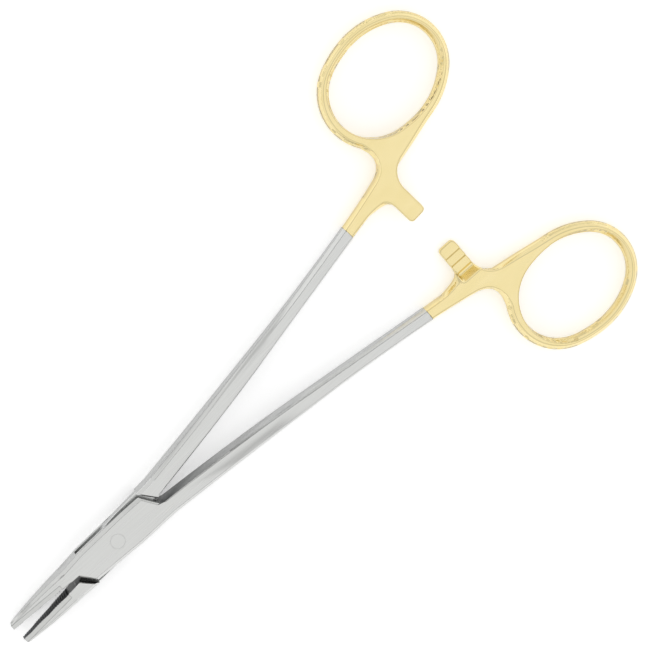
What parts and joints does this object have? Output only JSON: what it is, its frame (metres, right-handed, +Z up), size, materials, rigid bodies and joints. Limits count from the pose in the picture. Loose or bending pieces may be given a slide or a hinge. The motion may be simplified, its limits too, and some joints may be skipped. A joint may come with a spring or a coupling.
{
  "type": "surgical needle holder",
  "caption": "Box-lock surgical needle holder with serrated carbide jaw inserts, ratchet arms and gold-plated finger rings, lying flat with its jaws slightly open.",
  "frame": {"origin": "where the pivot axis meets the underside of the box, the face that the instrument lies on", "axes": "+X from the pivot towards the finger rings, midway between the two halves as they lie; +Y towards the ring of the half that passes through the box; +Z up along the pivot axis"},
  "size_m": [0.1518, 0.0866, 0.0055],
  "materials": {
    "steel_box_half": "satin steel, with polished gold plating on the ring end",
    "steel_web_half": "satin steel, with polished gold plating on the ring end",
    "pin": "satin steel, ground flush",
    "carbide": "dull dark carbide"
  },
  "bodies": {
    "box_side": {"box_half": "steel_box_half", "pivot_pin": "pin", "box_half_insert": "carbide"},
    "web_side": {"web_half": "steel_web_half", "web_half_insert": "carbide"}
  },
  "joints": [
    {"name": "box_lock_pivot", "type": "hinge", "parent": "box_side", "child": "web_side", "pos_m": [0, 0, 0.00275], "axis": [0, 0, 1], "range_deg": [-5.45, 45]}
  ]
}
